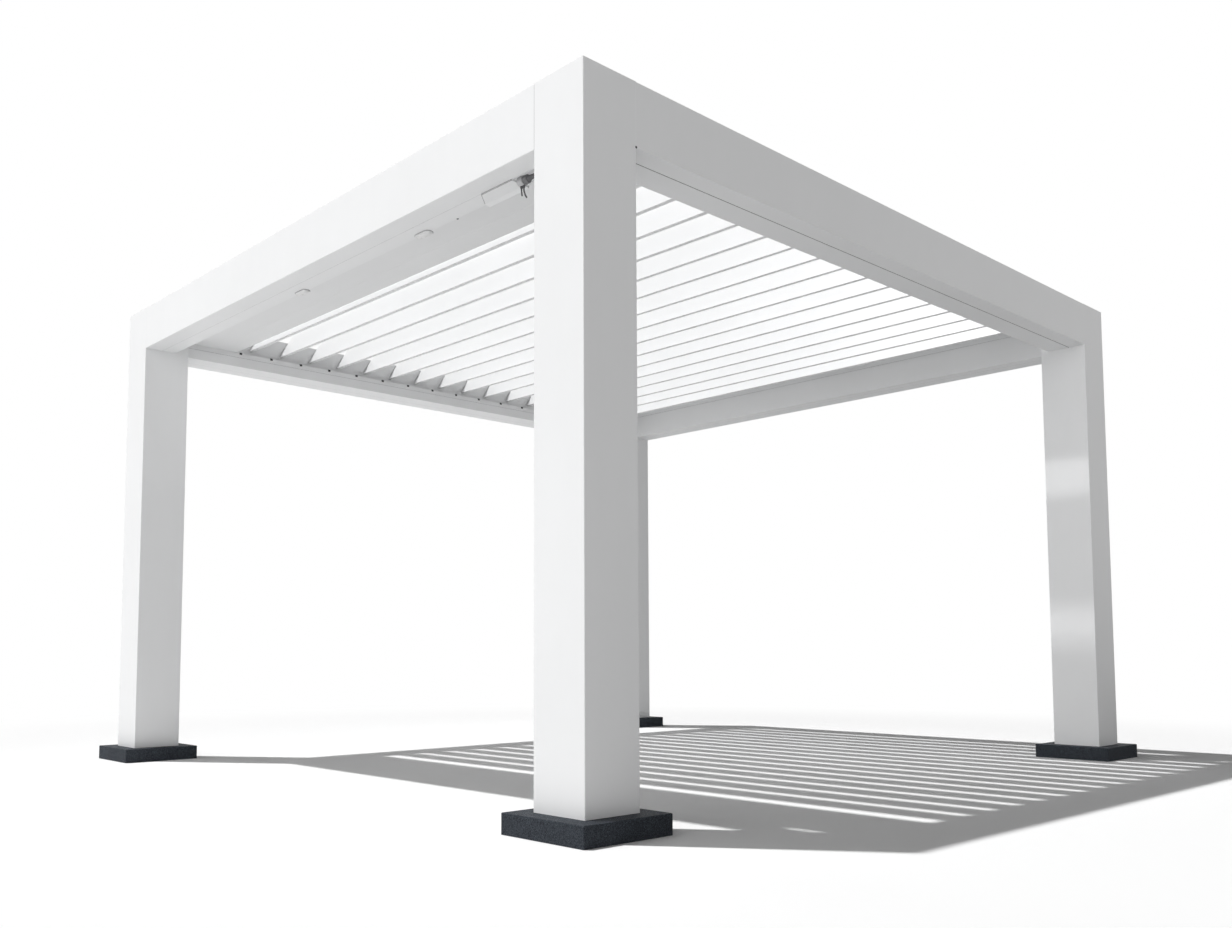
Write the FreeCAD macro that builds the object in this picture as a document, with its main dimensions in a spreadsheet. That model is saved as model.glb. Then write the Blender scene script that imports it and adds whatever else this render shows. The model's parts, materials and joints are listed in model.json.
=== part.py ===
import FreeCAD, Part
import math
import os
import Sketcher

# A free-standing pergola: four square posts on stone pads carry a frame of box
# beams. Gutters inside the frame carry sixteen hollow blades that turn together.
# All lengths are in millimetres. X runs along the two side beams, Y along the
# blades and the two end beams, Z is up. The origin is the centre of the plan on
# the ground. Front is -Y, left is -X.

SIZES = {
    # plan and heights
    "PlanDepth": 4000,         # over the posts along Y
    "PadHeight": 74,           # stone pad under each post
    "PadMargin": 78,           # how far a pad stands out round its post
    "PadArris": 4,             # worn edge of a pad
    "PostHeight": 2560,        # from the pad to the top of the frame
    "PostSide": 256,
    "PostWall": 3,
    "CapPlate": 4,             # plate that closes a post
    "CapPlug": 12,             # depth of the block under the plate
    "CapPlay": 1,              # play round that block
    "EdgeRadius": 3,           # rounded long edges of posts and beams
    # frame beams
    "BeamHeight": 243,
    "BeamWall": 3,
    "SideBeamWidth": 90,       # beams along X
    "EndBeamWidth": 98,        # beams along Y
    # gutters inside the frame
    "GutterWall": 3,
    "GutterStep": 2,           # an inner wall's lower part stands out by this
    "SideGutterWidth": 124,
    "SideGutterHeight": 89,
    "SideGutterStepHeight": 58,
    "EndGutterWidth": 79,
    "EndGutterLeftHeight": 89,
    "EndGutterRightStepHeight": 161,
    # fixed ceiling boards beside the left gutter and the closing board at the right
    "BoardThickness": 4,
    "OuterBoardWidth": 274,    # past the gutter
    "InnerBoardWidth": 131,
    "BoardJointGap": 1,
    "FirstBladeGap": 57,       # from the boards to the first blade, closed
    "LeftUpstand": 106,        # the board's inner edge is turned up by this
    "ClosingBoardDrop": 30,    # underside of the right board under the frame's top
    "ClosingBoardGap": 9,      # from the last blade, closed, to the right board
    "ClosingBoardWidth": 158,
    # louvre blades
    "LouvrePitch": 208,
    "LouvreLap": 12,           # how far a closed blade laps over the next one
    "LouvreGap": 5.5,          # clear gap between one blade's box and the next one's edge
    "LouvreThickness": 30,
    "LouvreSkin": 2,
    "LouvreLip": 3,            # thickness of the raised lip along the upper edge
    "LouvreLipLift": 5,        # from a blade's top face to the lip of the one before
    "LouvreNose": 11,          # thickness of the lower edge
    "LouvreTaper": 25,         # width over which the underside rises to the lower edge
    "LouvreTaperWall": 3,      # wall of that tapered side, measured across the blade
    "LouvreBevel": 12,         # bevelled corner of the underside by the upper edge
    "LouvreEndPlate": 4,
    "LouvreEndGap": 8,         # from a blade's end to the pivot rail
    "PivotDrop": 35,           # pivots under the frame's top
    "RestTilt": 60,            # degrees from closed, as stored
    "FullTilt": 135,           # degrees from closed to fully open
    # pivots, cranks and the bar that joins them
    "PinRadius": 6,
    "PinReach": 8,             # how far a pin passes the pivot rail
    "PinPlay": 0.05,
    "BushRadius": 9,
    "BushFlange": 12,
    "BushFlangeDepth": 2,
    "RailSetback": 35,         # from the gutter's inner wall to the rail
    "RailThickness": 3,
    "RailFootWidth": 20,
    "RailAbovePivot": 16,
    "RailLeftMargin": 150,     # past the first pivot
    "RailRightMargin": 80,     # past the last pivot
    "CrankRadius": 60,
    "CrankWidth": 16,
    "CrankHubRim": 3,          # how far the hub is wider than the arm, all round
    "CrankThickness": 5,
    "CrankGap": 6,             # from the rail to the crank
    "CrankPinRadius": 4,
    "CrankPinTip": 2,          # how far a crank pin passes the bar
    "BarHeight": 16,
    "BarThickness": 5,
    "BarGap": 5,               # from the crank to the bar
    "BarPlay": 0.5,            # round the crank pins
    "BarEnd": 15,
    # motor on the gutter's floor
    "MotorWidth": 70,
    "MotorGap": 6,             # from the bar to the motor
    "MotorDepth": 50,
    "MotorAbovePivot": 28,
    "ShaftPlay": 0.3,
    # hatch, cover and fittings under the left beam
    "HatchMargin": 6,          # from the front post
    "HatchLength": 238,
    "CoverLength": 182,        # along the cover's outer side
    "CoverSlant": 80,          # the inner side is longer by this, so the far end is cut at a slant
    "CoverDrop": 6,
    "CoverLap": 8,             # how far the cover stands out past the gutter
    "ConnectorLength": 52,
    "ConnectorWidth": 46,
    "ConnectorHeight": 40,
    "ConnectorDrop": 22,
    "GlandLength": 38,
    "GlandRadius": 9,
    # two short leads that hang from the coupling
    "LeadRadius": 3,
    "LeadDrop": 8,             # straight stretch under the coupling
    "LeadBendRadius": 60,
    "LeadSpacing": 14,
    "LeadInset": 18,           # middle between the leads, from the coupling's end
    "NearLeadBend": 34,        # degrees
    "NearLeadTail": 11,        # straight stretch after the bend
    "FarLeadBend": 8,
    "FarLeadTail": 20,
    "FittingLength": 100,
    "FittingWidth": 40,
    "FittingDrop": 10,
    "FittingReach": 15,        # how far they stand out past the gutter's edge
    "FirstFitting": 1177,      # from the outer face of the front beams
    "SecondFitting": 2215,
}
LOUVRE_COUNT = 16
THROUGH = 3  # a cutting block is this many times as deep as what it cuts, to pass right through

DOC = FreeCAD.newDocument("LouveredPergola")
SHEET = DOC.addObject("Spreadsheet::Sheet", "Sizes")
PARTS = []


class Size:
    """A number that also carries the sheet formula it was worked out with."""

    def __init__(self, value, formula):
        self.value = float(value)
        self.formula = formula

    def __add__(self, other):
        other = as_size(other)
        return Size(self.value + other.value, f"({self.formula} + {other.formula})")

    def __sub__(self, other):
        other = as_size(other)
        return Size(self.value - other.value, f"({self.formula} - {other.formula})")

    def __mul__(self, other):
        other = as_size(other)
        return Size(self.value * other.value, f"({self.formula} * {other.formula})")

    def __truediv__(self, other):
        other = as_size(other)
        return Size(self.value / other.value, f"({self.formula} / {other.formula})")

    def __neg__(self):
        return Size(-self.value, f"(0 - {self.formula})")

    def __radd__(self, other):
        return as_size(other) + self

    def __rsub__(self, other):
        return as_size(other) - self

    def __rmul__(self, other):
        return as_size(other) * self


def as_size(number):
    """Any plain number as a Size."""
    if isinstance(number, Size):
        return number
    return Size(number, f"({number})")


def cosine(angle):
    """Cosine of an angle in degrees."""
    angle = as_size(angle)
    return Size(math.cos(math.radians(angle.value)), f"cos({angle.formula} * 1 deg)")


def sine(angle):
    """Sine of an angle in degrees."""
    angle = as_size(angle)
    return Size(math.sin(math.radians(angle.value)), f"sin({angle.formula} * 1 deg)")


def fill_sheet():
    """One row for each driving size, with its name as the alias of its cell."""
    for row, (name, number) in enumerate(SIZES.items(), start=1):
        SHEET.set(f"A{row}", name)
        SHEET.set(f"B{row}", str(number))
        SHEET.setAlias(f"B{row}", name)
    DOC.recompute()


def size(name):
    """A driving size, read from the sheet."""
    return Size(getattr(SHEET, name), f"Sizes.{name}")


def bind(item, prop, number):
    """Tie one property of a document object to the sheet."""
    item.setExpression(prop, as_size(number).formula)


def place(item, at=(0, 0, 0), axis=None, angle=0):
    """Put an object at a point, turned by an angle in degrees about an axis."""
    x, y, z = (as_size(number) for number in at)
    turn = FreeCAD.Rotation()
    if axis:
        turn = FreeCAD.Rotation(FreeCAD.Vector(*axis), as_size(angle).value)
    item.Placement = FreeCAD.Placement(FreeCAD.Vector(x.value, y.value, z.value), turn)
    bind(item, "Placement.Base.x", x)
    bind(item, "Placement.Base.y", y)
    bind(item, "Placement.Base.z", z)
    if axis and isinstance(angle, Size):
        bind(item, "Placement.Rotation.Angle", angle)
    return item


def keep(item, name):
    """Name a finished sub-part; it is written to its own file."""
    item.Label = name
    PARTS.append(item)
    return item


def origin_plane(body, role):
    """One of the three planes of a body's own origin."""
    return next(plane for plane in body.Origin.OriginFeatures if plane.Role == role)


def tie_point(sketch, line, end, x, y):
    """Fix one end of a line at x, y from the sketch's origin."""
    for kind, number in (("DistanceX", x), ("DistanceY", y)):
        number = as_size(number)
        index = sketch.addConstraint(Sketcher.Constraint(kind, -1, 1, line, end, number.value))
        sketch.setExpression(f"Constraints[{index}]", number.formula)


def draw_outline(sketch, corners):
    """A closed outline of straight lines through the corners."""
    points = [FreeCAD.Vector(as_size(x).value, as_size(y).value, 0) for x, y in corners]
    first = sketch.GeometryCount
    for start, end in zip(points, points[1:] + points[:1]):
        sketch.addGeometry(Part.LineSegment(start, end), False)
    count = len(points)
    for number in range(count):
        following = first + (number + 1) % count
        sketch.addConstraint(Sketcher.Constraint("Coincident", first + number, 2, following, 1))
        tie_point(sketch, first + number, 1, *corners[number])


def draw_circle(sketch, x, y, radius):
    """A circle at x, y."""
    x, y, radius = as_size(x), as_size(y), as_size(radius)
    centre = FreeCAD.Vector(x.value, y.value, 0)
    circle = sketch.addGeometry(Part.Circle(centre, FreeCAD.Vector(0, 0, 1), radius.value), False)
    tie_point(sketch, circle, 3, x, y)
    index = sketch.addConstraint(Sketcher.Constraint("Radius", circle, radius.value))
    sketch.setExpression(f"Constraints[{index}]", radius.formula)


def rectangle(x0, y0, x1, y1):
    """Corners of a rectangle."""
    return [(x0, y0), (x1, y0), (x1, y1), (x0, y1)]


def sketched(body, role, outlines, circles=()):
    """A sketch on one of the body's planes, with closed outlines and circles."""
    sketch = body.newObject("Sketcher::SketchObject", "Profile")
    sketch.AttachmentSupport = [(origin_plane(body, role), "")]
    sketch.MapMode = "FlatFace"
    for corners in outlines:
        draw_outline(sketch, corners)
    for x, y, radius in circles:
        draw_circle(sketch, x, y, radius)
    return sketch


def extrusion(role, length, outlines, circles=(), centred=True):
    """A body padded from a profile, centred on its plane or standing on it."""
    body = DOC.addObject("PartDesign::Body", "Body")
    pad = body.newObject("PartDesign::Pad", "Pad")
    pad.Profile = sketched(body, role, outlines, circles)
    pad.SideType = "Symmetric" if centred else "One side"
    bind(pad, "Length", length)
    body.Tip = pad
    return body


def round_edges(body, radius, wanted):
    """Round the edges of a body that a test picks."""
    DOC.recompute()
    base = body.Tip
    names = [f"Edge{i}" for i, edge in enumerate(base.Shape.Edges, start=1) if wanted(edge)]
    fillet = body.newObject("PartDesign::Fillet", "Fillet")
    fillet.Base = (base, names)
    bind(fillet, "Radius", radius)
    body.Tip = fillet
    return body


def corner_edge(index, extents):
    """A test for the long outer edges of a tube that runs along one axis."""
    others = [number for number in range(3) if number != index]

    def wanted(edge):
        box = edge.BoundBox
        spans = (box.XLength, box.YLength, box.ZLength)
        middle = edge.CenterOfMass
        at_corner = all(min(abs(middle[n] - extents[n][0]), abs(middle[n] - extents[n][1])) < 0.01
                        for n in others)
        return at_corner and all(spans[n] < 0.01 for n in others)
    return wanted


def bounds(body):
    """Lowest and highest coordinate of a body's last feature on each axis."""
    box = body.Tip.Shape.BoundBox
    return ((box.XMin, box.XMax), (box.YMin, box.YMax), (box.ZMin, box.ZMax))


def tube(role, axis_index, length, outline_corners, wall_corners, centred=True):
    """A rectangular tube with rounded long edges."""
    body = extrusion(role, length, [outline_corners, wall_corners], centred=centred)
    DOC.recompute()
    return round_edges(body, size("EdgeRadius"), corner_edge(axis_index, bounds(body)))


def box(length, width, height, at):
    """A plain block with its lowest corner at a point."""
    block = DOC.addObject("Part::Box", "Block")
    bind(block, "Length", length)
    bind(block, "Width", width)
    bind(block, "Height", height)
    return place(block, at)


def rod(radius, length, at, axis=(1, 0, 0), angle=-90):
    """A cylinder; unless told otherwise it runs along +Y from a point."""
    cylinder = DOC.addObject("Part::Cylinder", "Rod")
    bind(cylinder, "Radius", radius)
    bind(cylinder, "Height", length)
    return place(cylinder, at, axis, angle)


def joined(pieces):
    """Several solids made one, or kept side by side where they don't touch."""
    fusion = DOC.addObject("Part::MultiFuse", "Joined")
    fusion.Shapes = pieces
    return fusion


def cut(base, tool):
    """One solid less another."""
    result = DOC.addObject("Part::Cut", "Cut")
    result.Base = base
    result.Tool = tool
    return result


fill_sheet()

BLADE_HALF = (size("LouvrePitch") + size("LouvreLap")) / 2
BOX_HALF = size("LouvrePitch") - BLADE_HALF - size("LouvreGap")
# along X from the outer face of the left beam, each from the one before
LEFT_GUTTER_EDGE = size("EndBeamWidth") + size("EndGutterWidth")
BOARD_JOINT = LEFT_GUTTER_EDGE + size("OuterBoardWidth")
BOARD_EDGE = BOARD_JOINT + size("BoardJointGap") + size("InnerBoardWidth")
FIRST_PIVOT = BOARD_EDGE + size("FirstBladeGap") + BLADE_HALF
LAST_PIVOT = FIRST_PIVOT + size("LouvrePitch") * (LOUVRE_COUNT - 1)
CLOSING_EDGE = LAST_PIVOT + BLADE_HALF + size("ClosingBoardGap")
PLAN_LENGTH = CLOSING_EDGE + size("ClosingBoardWidth") + size("EndBeamWidth")
HALF_LENGTH = PLAN_LENGTH / 2
HALF_DEPTH = size("PlanDepth") / 2
POST = size("PostSide")
TOP = size("PadHeight") + size("PostHeight")
UNDERSIDE = TOP - size("BeamHeight")
PIVOT_LEVEL = TOP - size("PivotDrop")
CLEAR_LENGTH = PLAN_LENGTH - POST * 2
CLEAR_DEPTH = size("PlanDepth") - POST * 2
HATCH_START = POST + size("HatchMargin")
HATCH_END = HATCH_START + size("HatchLength")
GUTTER_OUTER = size("SideBeamWidth")
GUTTER_INNER = GUTTER_OUTER + size("SideGutterWidth")
RAIL_FACE = GUTTER_INNER - size("GutterStep") - size("GutterWall") - size("RailSetback")
RAIL_BACK = RAIL_FACE - size("RailThickness")
BLADE_LENGTH = (HALF_DEPTH - RAIL_FACE - size("LouvreEndGap")) * 2
CORNERS = {
    "front_left": (-1, -1),
    "front_right": (1, -1),
    "rear_left": (-1, 1),
    "rear_right": (1, 1),
}
SIDES = {"front": -1, "rear": 1}
ENDS = {"left": -1, "right": 1}


def make_pad(name, x_sign, y_sign):
    """A stone pad with softened edges, centred under its post."""
    half = POST / 2 + size("PadMargin")
    body = extrusion("XY_Plane", size("PadHeight"), [rectangle(-half, -half, half, half)], centred=False)
    round_edges(body, size("PadArris"), lambda edge: edge.CenterOfMass.z > 0.01)
    place(body, ((HALF_LENGTH - POST / 2) * x_sign, (HALF_DEPTH - POST / 2) * y_sign, 0))
    return keep(body, f"stone_pad_{name}")


def make_post(name, x_sign, y_sign):
    """A square tube from the pad to the underside of its cap."""
    outer = POST / 2
    inner = outer - size("PostWall")
    height = size("PostHeight") - size("CapPlate")
    body = tube("XY_Plane", 2, height, rectangle(-outer, -outer, outer, outer),
                rectangle(-inner, -inner, inner, inner), centred=False)
    place(body, ((HALF_LENGTH - outer) * x_sign, (HALF_DEPTH - outer) * y_sign, size("PadHeight")))
    return keep(body, f"post_{name}")


def make_post_caps():
    """Four plates, each with a block that fits inside its post."""
    caps = []
    for x_sign, y_sign in CORNERS.values():
        x = (HALF_LENGTH - POST / 2) * x_sign
        y = (HALF_DEPTH - POST / 2) * y_sign
        plug = POST - (size("PostWall") + size("CapPlay")) * 2
        underside = TOP - size("CapPlate")
        caps.append(box(POST, POST, size("CapPlate"), (x - POST / 2, y - POST / 2, underside)))
        caps.append(box(plug, plug, size("CapPlug"),
                        (x - plug / 2, y - plug / 2, underside - size("CapPlug"))))
    return keep(joined(caps), "post_caps")


def make_side_beam(name, sign):
    """A box beam along X, flush with the outer faces of two posts."""
    width = size("SideBeamWidth")
    wall = size("BeamWall")
    height = size("BeamHeight")
    body = tube("YZ_Plane", 0, CLEAR_LENGTH, rectangle(0, 0, width, height),
                rectangle(wall, wall, width - wall, height - wall))
    offset = -HALF_DEPTH if sign < 0 else HALF_DEPTH - width
    return keep(place(body, (0, offset, UNDERSIDE)), f"side_beam_{name}")


def make_end_beam(name, sign):
    """A box beam along Y, flush with the outer faces of two posts."""
    width = size("EndBeamWidth")
    wall = size("BeamWall")
    height = size("BeamHeight")
    body = tube("XZ_Plane", 1, CLEAR_DEPTH, rectangle(0, 0, width, height),
                rectangle(wall, wall, width - wall, height - wall))
    offset = -HALF_LENGTH if sign < 0 else HALF_LENGTH - width
    return keep(place(body, (offset, 0, UNDERSIDE)), f"end_beam_{name}")


def channel(sign, width, height, step_height=None):
    """Section of a gutter, from its beam inwards; above a step the inner wall is set back."""
    wall = size("GutterWall")
    rise = [(width, height), (width - wall, height), (width - wall, wall)]
    if step_height is not None:
        inner = width - size("GutterStep")
        rise = [(width, step_height), (inner, step_height), (inner, height),
                (inner - wall, height), (inner - wall, wall)]
    corners = [(0, 0), (width, 0), *rise, (wall, wall), (wall, height), (0, height)]
    return [(as_size(across) * -sign, up) for across, up in corners]


def make_side_gutter(name, sign):
    """A channel along X, open at the top, whose inner wall has a shallow step."""
    corners = channel(sign, size("SideGutterWidth"), size("SideGutterHeight"), size("SideGutterStepHeight"))
    body = extrusion("YZ_Plane", CLEAR_LENGTH, [corners])
    return keep(place(body, (0, (HALF_DEPTH - GUTTER_OUTER) * sign, UNDERSIDE)), f"side_gutter_{name}")


def make_end_gutter(sign, corners):
    """A channel along Y beside an end beam."""
    body = extrusion("XZ_Plane", CLEAR_DEPTH, [corners])
    return place(body, ((HALF_LENGTH - size("EndBeamWidth")) * sign, 0, UNDERSIDE))


def make_right_gutter():
    """The right gutter; its walls rise to the closing board, the inner one with a shallow step."""
    corners = channel(1, size("EndGutterWidth"), size("BeamHeight") - size("ClosingBoardDrop"),
                      size("EndGutterRightStepHeight"))
    keep(make_end_gutter(1, corners), "end_gutter_right")


def make_left_gutter():
    """The left gutter; its floor has a hatch by the front post for the wiring."""
    body = make_end_gutter(-1, channel(-1, size("EndGutterWidth"), size("EndGutterLeftHeight")))
    wall = size("GutterWall")
    hatch = box(size("EndGutterWidth") - wall * 2, size("HatchLength"), wall * THROUGH,
                (-HALF_LENGTH + size("EndBeamWidth") + wall, -HALF_DEPTH + HATCH_START,
                 UNDERSIDE - wall))
    return keep(cut(body, hatch), "end_gutter_left")


def post_notches(x_low, z_low, height):
    """Blocks where the front and rear posts of the left end stand."""
    reach = POST - x_low
    return [box(reach, POST, height, (-HALF_LENGTH + x_low, -HALF_DEPTH, z_low)),
            box(reach, POST, height, (-HALF_LENGTH + x_low, HALF_DEPTH - POST, z_low))]


def make_left_boards():
    """Two ceiling boards between the left gutter and the first blade."""
    thickness = size("BoardThickness")
    level = UNDERSIDE + size("EndGutterLeftHeight")
    seat = size("GutterWall")
    wall_line = HALF_DEPTH - GUTTER_INNER + size("GutterStep") + seat
    start = LEFT_GUTTER_EDGE - seat
    outer = box(BOARD_JOINT - start, wall_line * 2, thickness, (-HALF_LENGTH + start, -wall_line, level))
    notches = joined(post_notches(start, level - thickness, thickness * THROUGH))
    keep(cut(outer, notches), "ceiling_board_outer")
    plate = box(size("InnerBoardWidth"), wall_line * 2, thickness,
                (-HALF_LENGTH + BOARD_JOINT + size("BoardJointGap"), -wall_line, level))
    upstand = box(thickness, wall_line * 2, size("LeftUpstand"),
                  (-HALF_LENGTH + BOARD_EDGE - thickness, -wall_line, level))
    keep(joined([plate, upstand]), "ceiling_board_inner")


def pivot_x(index):
    """Distance of one pivot from the centre of the plan."""
    return FIRST_PIVOT - HALF_LENGTH + size("LouvrePitch") * index


def make_closing_board():
    """A fixed board over the right gutter, beside the last blade."""
    start = CLOSING_EDGE - HALF_LENGTH
    level = TOP - size("ClosingBoardDrop")
    board = box(size("ClosingBoardWidth"), CLEAR_DEPTH, size("BoardThickness"),
                (start, -CLEAR_DEPTH / 2, level))
    return keep(board, "closing_board")


def make_pivot_rail(name, sign):
    """An upright plate with a foot on the gutter's floor and a hole for each bush."""
    floor = size("GutterWall")
    height = PIVOT_LEVEL - UNDERSIDE + size("RailAbovePivot")
    left = pivot_x(0) - size("RailLeftMargin")
    right = pivot_x(LOUVRE_COUNT - 1) + size("RailRightMargin")
    hole = size("BushRadius") + size("PinPlay")
    level = PIVOT_LEVEL - UNDERSIDE
    circles = [(pivot_x(i), level, hole) for i in range(LOUVRE_COUNT)]
    plate = extrusion("XZ_Plane", size("RailThickness"), [rectangle(left, floor, right, height)], circles)
    place(plate, (0, (HALF_DEPTH - RAIL_FACE + size("RailThickness") / 2) * sign, UNDERSIDE))
    back = HALF_DEPTH - RAIL_BACK
    start = back if sign > 0 else -back - size("RailFootWidth")
    foot = box(right - left, size("RailFootWidth"), size("RailThickness"), (left, start, UNDERSIDE + floor))
    return keep(joined([plate, foot]), f"pivot_rail_{name}")


def make_bushes(name, sign):
    """Plastic bushes in the rail's holes, each with a flange on the blade's side."""
    rings = []
    inner_face = HALF_DEPTH - RAIL_FACE
    depth = size("RailThickness")
    flange = size("BushFlangeDepth")
    for i in range(LOUVRE_COUNT):
        x = pivot_x(i)
        z = PIVOT_LEVEL
        back = inner_face if sign > 0 else -inner_face - depth
        front = inner_face - flange if sign > 0 else -inner_face
        sleeve = rod(size("BushRadius"), depth, (x, back, z))
        collar = rod(size("BushFlange"), flange, (x, front, z))
        start = front if sign > 0 else back
        bore = rod(size("PinRadius") + size("PinPlay"), depth + flange, (x, start, z))
        rings.append(cut(joined([sleeve, collar]), bore))
    return keep(joined(rings), f"pivot_bushes_{name}")


def blade_outline():
    """Section of a closed blade: a box that thins to an edge at -x, with a raised lip at +x."""
    top = size("LouvreThickness") / 2
    lip = size("LouvreLip")
    bevel = size("LouvreBevel")
    lift = top + size("LouvreLipLift")
    return [(-BLADE_HALF, top - size("LouvreNose")), (-BLADE_HALF + size("LouvreTaper"), -top),
            (BOX_HALF - bevel, -top), (BOX_HALF, bevel - top), (BOX_HALF, lift), (BLADE_HALF, lift),
            (BLADE_HALF, lift + lip), (BOX_HALF - lip, lift + lip), (BOX_HALF - lip, top),
            (-BLADE_HALF, top)]


def blade_hollow():
    """The hollow inside the box."""
    top = size("LouvreThickness") / 2
    skin = size("LouvreSkin")
    ceiling = top - size("LouvreLip")
    half = BOX_HALF - skin
    bevel = size("LouvreBevel")
    fall = size("LouvreThickness") - size("LouvreNose")
    start = size("LouvreTaperWall") - BLADE_HALF
    foot = start + size("LouvreTaper") * (fall - skin) / fall
    return [(start, top - size("LouvreNose")), (foot, skin - top), (half - bevel, skin - top),
            (half, bevel - top), (half, ceiling), (start, ceiling)]


def make_blade_shell():
    """A blade's closed shell: the full section less the hollow between its end plates."""
    body = extrusion("XZ_Plane", BLADE_LENGTH, [blade_outline()])
    pocket = body.newObject("PartDesign::Pocket", "Hollow")
    pocket.Profile = sketched(body, "XZ_Plane", [blade_hollow()])
    pocket.SideType = "Symmetric"
    bind(pocket, "Length", BLADE_LENGTH - size("LouvreEndPlate") * 2)
    body.Tip = pocket
    return body


PIN_END = HALF_DEPTH - RAIL_BACK + size("PinReach")
CRANK_START = HALF_DEPTH - RAIL_BACK + size("CrankGap")
BAR_START = CRANK_START + size("CrankThickness") + size("BarGap")
MOTOR_START = BAR_START + size("BarThickness") + size("MotorGap")


def make_crank():
    """An arm that hangs straight down from the pivot and ends in a crank pin."""
    width = size("CrankWidth")
    depth = size("CrankThickness")
    radius = size("CrankRadius")
    arm = box(width, depth, radius, (-width / 2, CRANK_START, -radius))
    hub = rod(width / 2 + size("CrankHubRim"), depth, (0, CRANK_START, 0))
    eye = rod(width / 2, depth, (0, CRANK_START, -radius))
    pin_length = BAR_START + size("BarThickness") + size("CrankPinTip") - CRANK_START
    pin = rod(size("CrankPinRadius"), pin_length, (0, CRANK_START, -radius))
    crank = joined([arm, hub, eye, pin])
    return place(crank, (0, 0, 0), (0, 1, 0), size("FullTilt") / 2)


def make_louvres():
    """Sixteen blades on their pins, tilted as stored; the first has the drive shaft."""
    shell = make_blade_shell()
    crank = make_crank()
    plate_back = BLADE_LENGTH / 2 - size("LouvreEndPlate")
    reach = PIN_END - plate_back
    front_pin = rod(size("PinRadius"), reach, (0, -PIN_END, 0))
    rear_reach = CRANK_START + size("CrankThickness") - plate_back
    rear_pin = rod(size("PinRadius"), rear_reach, (0, plate_back, 0))
    shaft_reach = MOTOR_START - size("ShaftPlay") - plate_back
    shaft = rod(size("PinRadius"), shaft_reach, (0, plate_back, 0))
    for i in range(LOUVRE_COUNT):
        rear = shaft if i == 0 else rear_pin
        louvre = joined([shell, front_pin, rear, crank])
        place(louvre, (pivot_x(i), 0, PIVOT_LEVEL), (0, -1, 0), size("RestTilt"))
        keep(louvre, f"louvre_{i + 1:02d}")


def make_link_bar():
    """A flat bar that joins all the crank pins, so that the blades turn together."""
    lean = size("RestTilt") - size("FullTilt") / 2 - 90
    radius = size("CrankRadius")
    start = pivot_x(0) - size("BarEnd")
    end = pivot_x(LOUVRE_COUNT - 1) + size("BarEnd")
    half = size("BarHeight") / 2
    hole = size("CrankPinRadius") + size("BarPlay")
    circles = [(pivot_x(i), 0, hole) for i in range(LOUVRE_COUNT)]
    body = extrusion("XZ_Plane", size("BarThickness"), [rectangle(start, -half, end, half)], circles)
    place(body, (radius * cosine(lean), BAR_START + size("BarThickness") / 2,
                 PIVOT_LEVEL + radius * sine(lean)))
    return keep(body, "link_bar")


def make_motor():
    """The drive: a housing that stands on the rear gutter's floor behind the first blade."""
    floor = UNDERSIDE + size("GutterWall")
    width = size("MotorWidth")
    height = PIVOT_LEVEL + size("MotorAbovePivot") - floor
    housing = box(width, size("MotorDepth"), height, (pivot_x(0) - width / 2, MOTOR_START, floor))
    return keep(housing, "louvre_motor")


def make_wiring_cover():
    """A lid under the left gutter, past the open hatch, with its far end cut at a slant."""
    width = size("EndGutterWidth") + size("CoverLap")
    drop = size("CoverDrop")
    length = size("CoverLength")
    corners = [(0, 0), (width, 0), (width, length + size("CoverSlant")), (0, length)]
    lid = extrusion("XY_Plane", drop, [corners], centred=False)
    place(lid, (-HALF_LENGTH + size("EndBeamWidth"), -HALF_DEPTH + HATCH_END, UNDERSIDE - drop))
    return keep(lid, "wiring_cover")


GUTTER_MIDDLE = -HALF_LENGTH + size("EndBeamWidth") + size("EndGutterWidth") / 2
CONNECTOR_UNDERSIDE = UNDERSIDE - size("ConnectorDrop")


def make_connector():
    """A cable coupling in the hatch by the cover's end, with a gland towards the post."""
    width = size("ConnectorWidth")
    height = size("ConnectorHeight")
    start = -HALF_DEPTH + HATCH_END - size("ConnectorLength")
    block = box(width, size("ConnectorLength"), height,
                (GUTTER_MIDDLE - width / 2, start, CONNECTOR_UNDERSIDE))
    gland = rod(size("GlandRadius"), size("GlandLength"),
                (GUTTER_MIDDLE, start - size("GlandLength"), CONNECTOR_UNDERSIDE + height / 2))
    return keep(joined([block, gland]), "cable_connector")


def lead_path(body, bend, tail):
    """A line down, an arc towards the front and a line along the arc's end."""
    drop = size("LeadDrop")
    radius = size("LeadBendRadius")
    bent = (radius * cosine(bend) - radius, -drop - radius * sine(bend))
    tip = (bent[0] - tail * sine(bend), bent[1] - tail * cosine(bend))
    path = body.newObject("Sketcher::SketchObject", "Path")
    path.AttachmentSupport = [(origin_plane(body, "YZ_Plane"), "")]
    path.MapMode = "FlatFace"
    points = [FreeCAD.Vector(as_size(x).value, as_size(y).value, 0)
              for x, y in ((0, 0), (0, -drop), bent, tip)]
    centre = FreeCAD.Vector(-radius.value, -drop.value, 0)
    path.addGeometry(Part.LineSegment(points[0], points[1]), False)
    circle = Part.Circle(centre, FreeCAD.Vector(0, 0, 1), radius.value)
    path.addGeometry(Part.ArcOfCircle(circle, -math.radians(bend.value), 0), False)
    path.addGeometry(Part.LineSegment(points[2], points[3]), False)
    path.addConstraint(Sketcher.Constraint("Coincident", 0, 2, 1, 2))
    path.addConstraint(Sketcher.Constraint("Coincident", 1, 1, 2, 1))
    tie_point(path, 0, 1, 0, 0)
    tie_point(path, 0, 2, 0, -drop)
    tie_point(path, 1, 3, -radius, -drop)
    tie_point(path, 2, 2, *tip)
    index = path.addConstraint(Sketcher.Constraint("DistanceX", -1, 1, 1, 1, bent[0].value))
    path.setExpression(f"Constraints[{index}]", bent[0].formula)
    return path


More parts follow.
